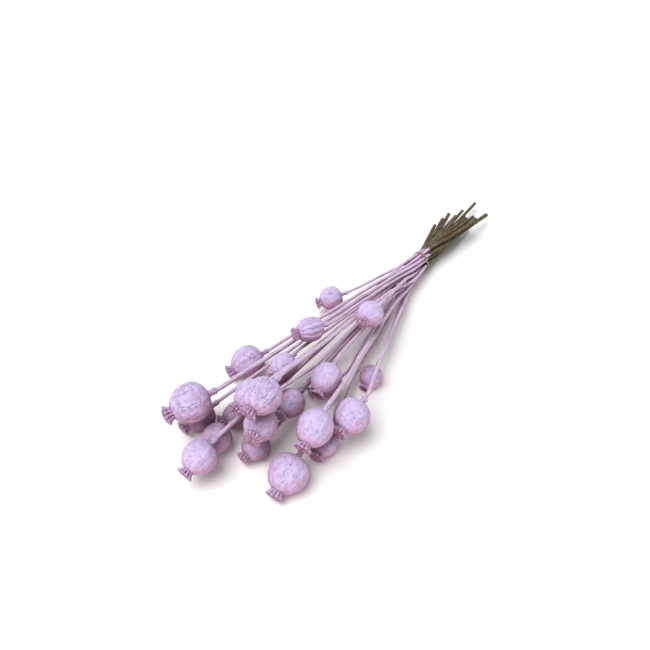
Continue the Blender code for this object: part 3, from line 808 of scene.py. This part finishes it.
def lilac_paint(tree, grains, specks, crease_lines):
    """The paint: painted light makes it bluer above and painted shade pinker below; it is worn on the
    stems, with painted shade in the hollows and where the bunch closes in.
    """
    # Painted light and shade, by how far each face turns up
    up = add(tree, "ShaderNodeNewGeometry").outputs["Normal"]
    up = add(tree, "ShaderNodeSeparateXYZ", {0: up}).outputs[2]
    lit_facing = math_node(tree, "ADD", up, math_node(tree, "SUBTRACT", grains.broad, 0.5))
    lilac = mixed(tree, ranged(tree, lit_facing, *LIT_FACING), SHADED_SIDE_PAINT, LIT_TOP_PAINT)
    lilac = mixed(tree, ranged(tree, grains.mottle, *CHALKY), lilac, CHALK)
    lilac = mixed(tree, ranged(tree, grains.mottle, *MAUVE), lilac, MAUVE_PAINT)
    stem = attribute(tree, "stem")
    lilac = mixed(tree, times(tree, stem, STEM_SHARE), lilac, STEM_PAINT)
    lilac = mixed(tree, times(tree, stem, ranged(tree, grains.streaks, *WORN)), lilac, WORN_STEM)
    # Painted shade along the fine creases
    lilac = mixed(tree, times(tree, crease_lines, CREASE_SHADE_SHARE), lilac, PAINTED_CREASE_SHADE)
    lilac = mixed(tree, times(tree, specks, SPECK_SHARE), lilac, SPECK)
    crown = times(tree, attribute(tree, "crown"), ranged(tree, grains.mottle, *ROSY))
    lilac = mixed(tree, crown, lilac, CROWN_PAINT)
    # Painted shade in the hollows, made uneven by the mottle
    uneven = math_node(tree, "SUBTRACT", grains.mottle, 0.5)
    deep = math_node(tree, "ADD", attribute(tree, "recess"), uneven)
    lilac = mixed(tree, ranged(tree, deep, *SHADE_DEPTH), lilac, PAINTED_SHADE_COLOUR)
    # Painted shade where the bunch closes in
    return mixed(tree, times(tree, attribute(tree, "painted_buried_shade"), BURIED_SHADE_SHARE), lilac, PAINTED_SHADE_COLOUR)


def bare_stem(tree, grains):
    """The dried stem without paint: olive, streaked grey, and redder on some."""
    bare = mixed(tree, ranged(tree, grains.streaks, *GREY), OLIVE_STEM, GREY_STEM)
    red = times(tree, attribute(tree, "tone"), ranged(tree, grains.broad, *RED))
    return mixed(tree, red, bare, RED_STEM)


def painted_poppy_finish():
    """Chalky lilac paint with specks over a brown dried stem and head, with painted light and shade
    on the paint.
    """
    finish, tree, shader = new_finish("painted_poppy", 0.85)
    place = add(tree, "ShaderNodeTexCoord").outputs["Object"]
    skin = add(tree, "ShaderNodeAttribute", attribute_name="skin").outputs["Vector"]
    long_place = {"Vector": place, "Scale": (1.0, STREAK_SQUEEZE, 1.0)}
    long_place = add(tree, "ShaderNodeMapping", long_place).outputs[0]
    grains = Grains(
        broad=grain(tree, place, BROAD_SCALE),
        mottle=grain(tree, skin, MOTTLE_SCALE, 5.0),
        dust=grain(tree, place, DUST_SCALE, 2.0),
        streaks=grain(tree, long_place, STREAK_SCALE, 3.0),
    )
    specks = painted_specks(tree, place)
    crease_lines = crease_line_mask(tree, place, skin)

    uneven = math_node(tree, "SUBTRACT", grains.mottle, 0.5)
    ragged = math_node(tree, "SUBTRACT", grains.streaks, 0.5)
    ragged = math_node(tree, "ADD", times(tree, uneven, EDGE_MOTTLE), ragged)
    cover = ranged(tree, math_node(tree, "ADD", attribute(tree, "paint"), ragged), *COVERED)
    colour = mixed(tree, cover, bare_stem(tree, grains), lilac_paint(tree, grains, specks, crease_lines))
    tree.links.new(colour, shader.inputs["Base Color"])

    lines = times(tree, grains.streaks, attribute(tree, "stem"))
    height = times(tree, grains.dust, DUST_RELIEF)
    height = math_node(tree, "ADD", height, times(tree, grains.mottle, MOTTLE_RELIEF))
    height = math_node(tree, "ADD", height, times(tree, lines, LINE_RELIEF))
    height = math_node(tree, "SUBTRACT", height, times(tree, specks, SPECK_RELIEF))
    height = math_node(tree, "SUBTRACT", height, times(tree, crease_lines, CRACK_RELIEF))
    bump = {"Strength": 0.9, "Distance": SKIN_RELIEF, "Height": height}
    bump = add(tree, "ShaderNodeBump", bump)
    tree.links.new(bump.outputs["Normal"], shader.inputs["Normal"])
    shader.inputs["Specular IOR Level"].default_value = 0.25
    return finish


def band_finish():
    """Tan elastic with a fine grain along it."""
    finish, tree, shader = new_finish("elastic_band", 0.6)
    place = add(tree, "ShaderNodeTexCoord").outputs["Object"]
    fine = grain(tree, place, BAND_SCALE, 3.0)
    colour = mixed(tree, ranged(tree, fine, 0.35, 0.65), BAND_SHADE, BAND)
    tree.links.new(colour, shader.inputs["Base Color"])
    bump = add(tree, "ShaderNodeBump", {"Strength": 0.4, "Distance": BAND_RELIEF, "Height": fine})
    tree.links.new(bump.outputs["Normal"], shader.inputs["Normal"])
    return finish


def build_band(finish):
    """The elastic band, rounded, in place of its solid."""
    mesh = bmesh.new()
    mesh.from_mesh(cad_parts["elastic_tie"].data)
    bmesh.ops.remove_doubles(mesh, verts=mesh.verts, dist=WELD)
    limits = {"angle_face_threshold": BAND_FOLD, "angle_shape_threshold": BAND_FOLD}
    bmesh.ops.join_triangles(mesh, faces=mesh.faces, **limits)
    data = bpy.data.meshes.new("rounded_band")
    mesh.to_mesh(data)
    mesh.free()
    data.materials.clear()
    data.materials.append(finish)
    data.shade_smooth()
    piece = bpy.data.objects.new("rounded_band", data)
    bpy.context.scene.collection.objects.link(piece)
    rounding = piece.modifiers.new("rounding", "SUBSURF")
    rounding.levels = 2
    rounding.render_levels = 2
    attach(piece, "root")
    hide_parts("elastic_tie")


def build_camera():
    """The camera at the photograph's viewing angle."""
    camera = bpy.data.objects.new("camera", bpy.data.cameras.new("camera"))
    camera.location = CAMERA_PLACE
    camera.rotation_euler = (math.radians(90 - CAMERA_DOWN), 0, math.radians(CAMERA_TURN))
    camera.data.angle = math.radians(FIELD_OF_VIEW)
    camera.data.clip_start = 0.01
    bpy.context.scene.collection.objects.link(camera)
    bpy.context.scene.camera = camera


def soft_sun(name, down, turn, power, spread):
    """A distant soft light, by how steeply it falls and the way it comes from."""
    light = bpy.data.lights.new(name, "SUN")
    light.energy = power
    light.angle = math.radians(spread)
    lamp = bpy.data.objects.new(name, light)
    lamp.rotation_euler = (math.radians(90 - down), 0, math.radians(turn))
    bpy.context.scene.collection.objects.link(lamp)


def build_studio():
    """A white floor under a pale sky and one soft sun."""
    mesh = bmesh.new()
    bmesh.ops.create_circle(mesh, cap_ends=True, segments=FLOOR_CORNERS, radius=FLOOR_SIZE)
    data = bpy.data.meshes.new("floor")
    mesh.to_mesh(data)
    mesh.free()
    floor = bpy.data.objects.new("floor", data)
    finish, _, shader = new_finish("floor", 0.9)
    shader.inputs["Base Color"].default_value = (*FLOOR, 1)
    shader.inputs["Specular IOR Level"].default_value = 0.0
    data.materials.append(finish)
    bpy.context.scene.collection.objects.link(floor)
    world = bpy.data.worlds.new("soft_studio")
    world.use_nodes = True
    tree = world.node_tree
    tree.nodes["Background"].inputs["Color"].default_value = (1, 1, 1, 1)
    way = add(tree, "ShaderNodeTexCoord").outputs["Generated"]
    height = add(tree, "ShaderNodeSeparateXYZ", {0: way}).outputs[2]
    sky = {0: height, 1: HORIZON_TOP, 2: SKY_START, 3: HORIZON_LIGHT, 4: SKY_LIGHT}
    sky = add(tree, "ShaderNodeMapRange", sky, interpolation_type="SMOOTHSTEP").outputs[0]
    tree.links.new(sky, tree.nodes["Background"].inputs["Strength"])
    bpy.context.scene.world = world
    bpy.context.scene.view_settings.view_transform = "Standard"
    soft_sun("key", *SUN)


def main():
    """Build the camera and studio, then every piece over the frame."""
    build_camera()
    build_studio()
    tree = solid_tree()
    tie_low, tie_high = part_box("elastic_tie")
    finish = painted_poppy_finish()
    for number, look in enumerate(LOOKS, start=1):
        grow(Poppy(number, look), tree, tie_low, tie_high, finish)
    build_band(band_finish())


main()
